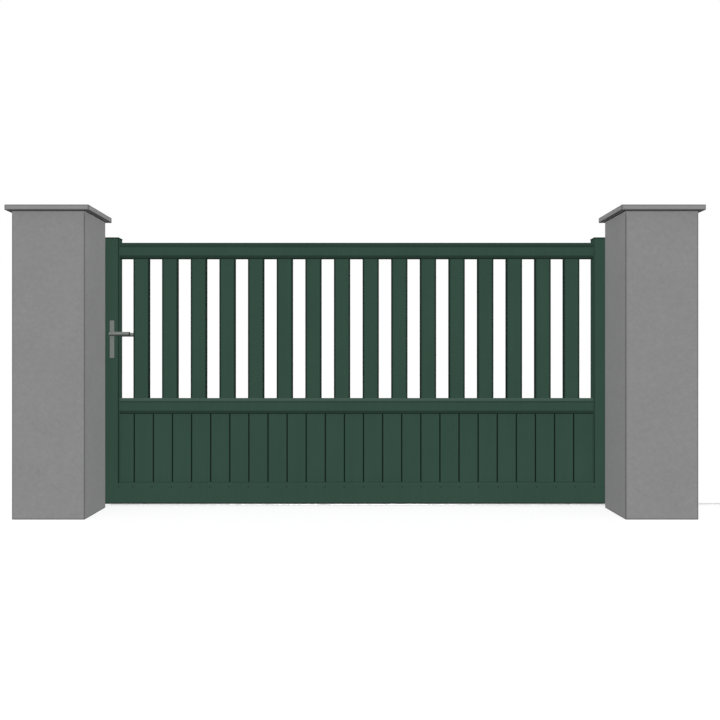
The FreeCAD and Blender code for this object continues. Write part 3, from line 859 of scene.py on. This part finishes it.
stopBolts = {"plate": 0.008, "inset": 0.032, "aside": 0.016, "bufferDrop": 0.02}
low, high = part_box("end_stop")
setOut("stop_bolts", makeBolt,
       [(high.x - stopBolts["inset"], side * stopBolts["aside"], low.z + stopBolts["plate"])
        for side in (-1, 1)], alongZ)
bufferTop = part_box("end_stop_buffer")[1].z
setOut("buffer_bolt", makeBolt,
       [(low.x + stopBolts["plate"], 0, bufferTop - stopBolts["bufferDrop"])], alongX)

low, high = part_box("guide_rollers")
rollerRadius = (high.y - low.y) / 2
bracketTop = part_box("guide_bracket")[1].z
setOut("roller_nuts", makeBolt,
       [(x, (low.y + high.y) / 2, bracketTop) for x in (low.x + rollerRadius, high.x - rollerRadius)],
       alongZ)

trackScrews = {
    "first": 0.1,
    "spacing": 0.36,
    "aside": 0.0155,
    "height": 0.0028,         # seated in the top of the flanges
}
low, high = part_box("ground_track")
count = int((high.x - low.x - trackScrews["first"]) / trackScrews["spacing"]) + 1
setOut("track_screws", makeScrew,
       [(low.x + trackScrews["first"] + step * trackScrews["spacing"], side * trackScrews["aside"],
         trackScrews["height"]) for step in range(count) for side in (-1, 1)], alongZ)

endCapScrews = {"inset": 0.012, "lift": 0.014}
stilePlugs = {"aside": 0.014, "rails": ("middle_rail", "top_rail")}
levels = [sum(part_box(rail)[end].z for end in (0, 1)) / 2 for rail in stilePlugs["rails"]]
for side, outwards in (("left", -1), ("right", 1)):
    low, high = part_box(side + "_rail_end_cap")
    face = low.x if outwards < 0 else high.x
    inset, lift = endCapScrews["inset"], endCapScrews["lift"]
    setOut(side + "_end_cap_screws", makeScrew,
           [(face, y, z) for y in (low.y + inset, high.y - inset)
            for z in (low.z + lift, high.z - lift)],
           (outwards, 0, 0), "leaf")
    low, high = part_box(side + "_stile")
    face = low.x if outwards < 0 else high.x
    setOut(side + "_stile_plugs", makePlug,
           [(face, row * stilePlugs["aside"], z) for z in levels for row in (-1, 1)],
           (outwards, 0, 0), "leaf", "leaf_green", plugGreen)

plateScrews = {"inset": 0.012}
low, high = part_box("rear_lock_plate")
setOut("rear_plate_screws", makeScrew,
       [((low.x + high.x) / 2, high.y, z)
        for z in (low.z + plateScrews["inset"], high.z - plateScrews["inset"])],
       alongY, "leaf", "handle_grey")
print("fasteners set")


# floor, light and camera

studio = {
    "floorSize": 120,
    "floorBounce": 0.12,      # what the floor sends back to the gate
    "floorGlow": 0.36,
    "floorShadow": 0.6,       # share of the white that the gate's shadow can take
    "ambient": 0.25,
    "lampDistance": 12,
}
lamps = {                     # strength, azimuth, elevation and softness in degrees, shadows or not
    "front lamp": (0.12, 0, 14, 3, True),
    "front fill": (2.28, 2, 18, 12, False),
    "right lamp": (1.83, 88, 15, 20, False),
    "left lamp": (1.80, -88, 15, 20, False),
    "top lamp": (0.4, 0, 80, 40, True),
    "rear lamp": (2.1, 180, 18, 12, False),
}
viewPoint = {
    "place": (0, -5.430, 0.872),
    "lens": 44.25,
    "sensor": 36,
    "shift": (0.0067, 0.0035),
    "farthest": 300,
}


def seenRays(tree):           # rays to the camera, and mirrored or let through on the way
    path = addNode(tree, "LightPath").outputs
    seen = sums(tree, "MAXIMUM", path["Is Camera Ray"], path["Is Glossy Ray"])
    return sums(tree, "MAXIMUM", seen, path["Is Transmission Ray"])


def makeFloor():
    form = bmesh.new()
    bmesh.ops.create_grid(form, x_segments=1, y_segments=1, size=studio["floorSize"] / 2)
    mesh = bpy.data.meshes.new("floor")
    form.to_mesh(mesh)
    form.free()
    floor = bpy.data.objects.new("floor", mesh)
    bpy.context.scene.collection.objects.link(floor)
    finish = bpy.data.materials.new("paleFloor")
    finish.use_nodes = True
    tree = finish.node_tree
    tree.nodes.remove(tree.nodes["Principled BSDF"])
    plain = addNode(tree, "BsdfDiffuse", {"Color": (*[studio["floorBounce"]] * 3, 1)})
    lit = addNode(tree, "BsdfDiffuse", {"Color": (*[studio["floorShadow"]] * 3, 1)})
    glow = addNode(tree, "Emission", {"Color": (1, 1, 1, 1), "Strength": studio["floorGlow"]})
    white = addNode(tree, "AddShader", {0: lit.outputs[0], 1: glow.outputs[0]})
    links = {0: seenRays(tree), 1: plain.outputs[0], 2: white.outputs[0]}
    mixed = addNode(tree, "MixShader", links)
    wire(tree, tree.nodes["Material Output"], {"Surface": mixed.outputs[0]})
    mesh.materials.append(finish)


def makeWorld():
    world = bpy.data.worlds.new("studio")
    bpy.context.scene.world = world
    world.use_nodes = True
    tree = world.node_tree
    strength = spread(tree, seenRays(tree), studio["ambient"], 1.0, 0, 1)
    wire(tree, tree.nodes["Background"], {"Color": (1, 1, 1, 1), "Strength": strength})


def makeLamp(name, strength, azimuth, elevation, softness, shadows):
    lamp = bpy.data.lights.new(name, "SUN")
    lamp.energy = strength
    lamp.angle = math.radians(softness)
    lamp.use_shadow = shadows
    holder = bpy.data.objects.new(name, lamp)
    turn, rise = math.radians(azimuth), math.radians(elevation)
    level = math.cos(rise)
    towards = Vector((math.sin(turn) * level, -math.cos(turn) * level, math.sin(rise)))
    holder.rotation_euler = towards.to_track_quat("Z", "Y").to_euler()
    holder.location = towards * studio["lampDistance"]
    bpy.context.scene.collection.objects.link(holder)


def makeCamera():
    camera = bpy.data.objects.new("camera", bpy.data.cameras.new("camera"))
    camera.data.lens = viewPoint["lens"]
    camera.data.sensor_width = viewPoint["sensor"]
    camera.data.sensor_fit = "HORIZONTAL"
    camera.data.shift_x, camera.data.shift_y = viewPoint["shift"]
    camera.data.clip_end = viewPoint["farthest"]
    camera.location = viewPoint["place"]
    camera.rotation_euler = (math.radians(90), 0, 0)
    bpy.context.scene.collection.objects.link(camera)
    bpy.context.scene.camera = camera


makeFloor()
makeWorld()
for name, settings in lamps.items():
    makeLamp(name, *settings)
makeCamera()
bpy.context.scene.view_settings.view_transform = "Standard"
print("floor, lamps and camera set")
